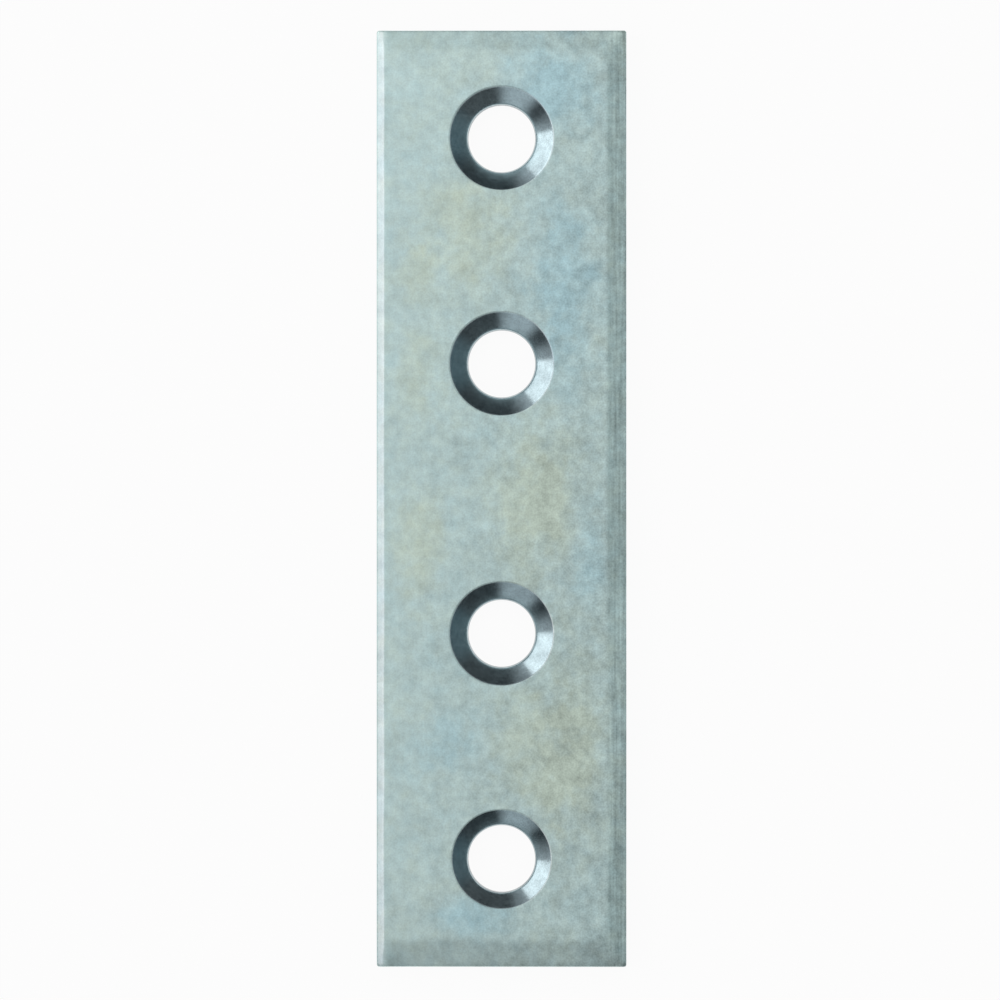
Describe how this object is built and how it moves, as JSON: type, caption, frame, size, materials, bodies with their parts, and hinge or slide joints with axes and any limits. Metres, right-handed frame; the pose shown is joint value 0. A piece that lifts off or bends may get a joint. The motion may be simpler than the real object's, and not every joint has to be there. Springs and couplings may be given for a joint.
{
  "type": "mending plate",
  "caption": "Flat rectangular steel plate with a row of countersunk screw holes, for joining two pieces of wood.",
  "frame": {"origin": "centre of the plate's back face", "axes": "+Y along the plate, +X across it, +Z out of the countersunk face"},
  "size_m": [0.016, 0.06, 0.002],
  "materials": {
    "zinc_plate": "bright zinc plating, satin, bluish, with faint yellow and blue passivation tints"
  },
  "bodies": {
    "root": {"plate": "zinc_plate"}
  },
  "joints": []
}
